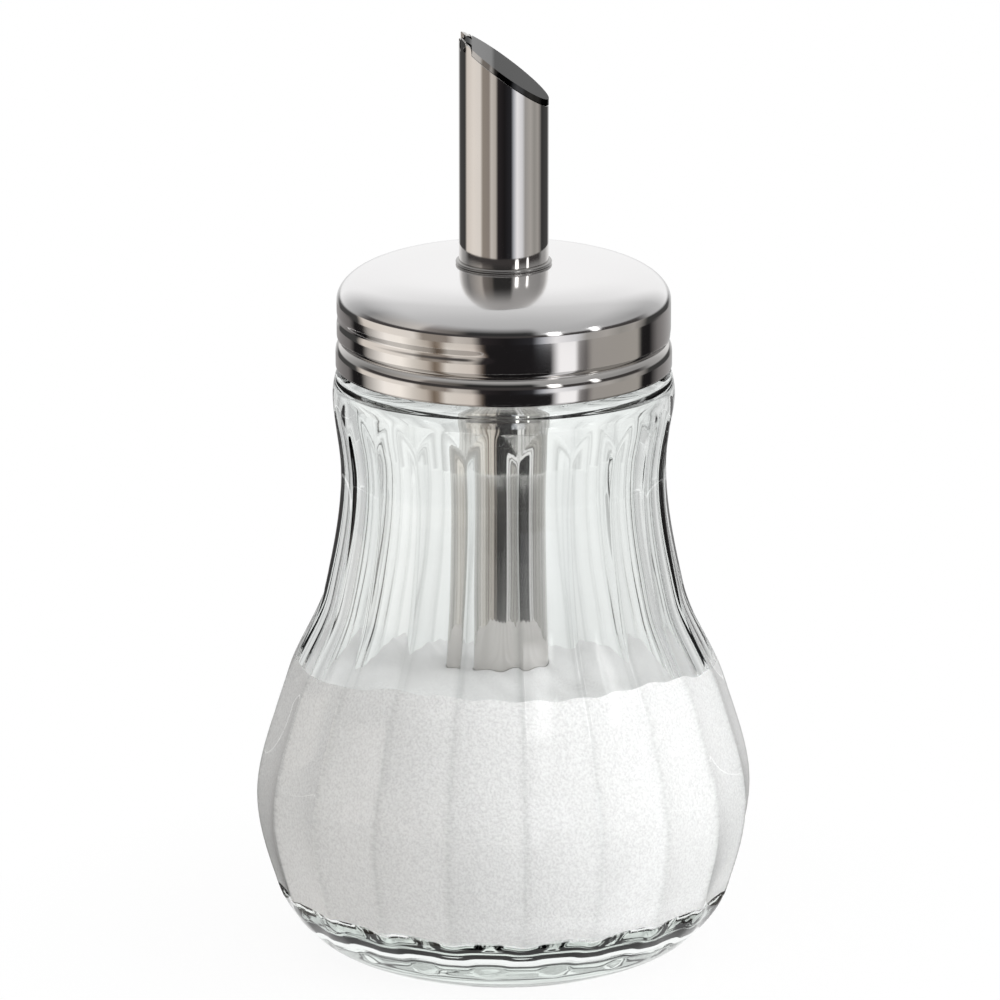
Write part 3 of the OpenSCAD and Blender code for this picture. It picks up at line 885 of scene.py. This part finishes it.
def table_front():
    """Ring of table round the object, seen only by metal and glass."""
    row = TABLE_POINTS + 1
    angles = [360 * k / TABLE_POINTS + 90 for k in range(row)]
    verts = [around(a, r, TABLE_Z) for r in TABLE_RADII for a in angles]
    faces = []
    for i in range(len(TABLE_RADII) - 1):
        for k in range(TABLE_POINTS):
            start = i * row + k
            faces.append((start, start + 1, start + row + 1, start + row))
    table = new_object("table_front", verts, faces, False)
    table.data.materials.append(table_material())
    table.visible_camera = False
    table.visible_diffuse = False
    table.visible_shadow = False


def area(name, size, power, azimuth, elevation, distance, height):
    """Area lamp at a compass angle, aimed at a height on the axis, unseen in metal and glass."""
    data = bpy.data.lights.new(name, "AREA")
    data.shape = "RECTANGLE"
    data.size, data.size_y = size
    data.energy = power
    obj = bpy.data.objects.new(name, data)
    bpy.context.scene.collection.objects.link(obj)
    a, e = math.radians(azimuth), math.radians(elevation)
    spot = Vector((math.sin(a) * math.cos(e), -math.cos(a) * math.cos(e), math.sin(e))) * distance
    obj.location = Vector((0, 0, height)) + spot
    obj.rotation_euler = spot.to_track_quat("Z", "Y").to_euler()
    obj.visible_camera = False
    obj.visible_glossy = False
    obj.visible_transmission = False


def white_world():
    world = bpy.data.worlds.new("world")
    bpy.context.scene.world = world
    world.use_nodes = True
    background = world.node_tree.nodes["Background"]
    background.inputs["Color"].default_value = (1, 1, 1, 1)
    background.inputs["Strength"].default_value = 1.0


# camera: its angle down, its distance and aim in metres, and the scale in the photograph
VIEW_DOWN = math.radians(15.5)
VIEW_DISTANCE, VIEW_Z = 1.6, 0.074
PIXELS_PER_MM, FRAME_PIXELS, SENSOR = 6.15, 1000, 36.0
SHIFT_X, SHIFT_Y = -0.0038, 0.0043


def photo_camera():
    data = bpy.data.cameras.new("camera")
    cam = bpy.data.objects.new("camera", data)
    bpy.context.scene.collection.objects.link(cam)
    out, up = VIEW_DISTANCE * math.cos(VIEW_DOWN), VIEW_DISTANCE * math.sin(VIEW_DOWN)
    cam.location = (0.0, -out, VIEW_Z + up)
    cam.rotation_euler = (math.pi / 2 - VIEW_DOWN, 0.0, 0.0)
    data.sensor_width = SENSOR
    data.lens = PIXELS_PER_MM * VIEW_DISTANCE / MM / FRAME_PIXELS * SENSOR
    data.shift_x = SHIFT_X
    data.shift_y = SHIFT_Y
    data.clip_start = 0.05
    data.clip_end = 20.0
    bpy.context.scene.camera = cam


# the object
glass_jar()
sugar_heap()
cap_shell()
pour_tube()
ring_steel = steel("ring_steel", RING_STEEL, 0.18, 0.26)
tube_collar(ring_steel)
dress("flap", flap_material(), 0.00008)
dress("flap_pin", steel("pin_steel", PIN_STEEL, 0.2, 0.3))
dress("lock_ring", ring_steel, 0.0001)
dress("sealing_ring", rubber_material(), 0.0002)

# the studio
bpy.context.scene.view_settings.view_transform = "Standard"
pale_floor()
light_tent()
table_front()
area("key", (0.10, 0.16), 0.25, 56, 26, 0.26, 0.035)
area("fill", (0.30, 0.30), 0.18, 0, 50, 0.30, 0.04)
white_world()
photo_camera()
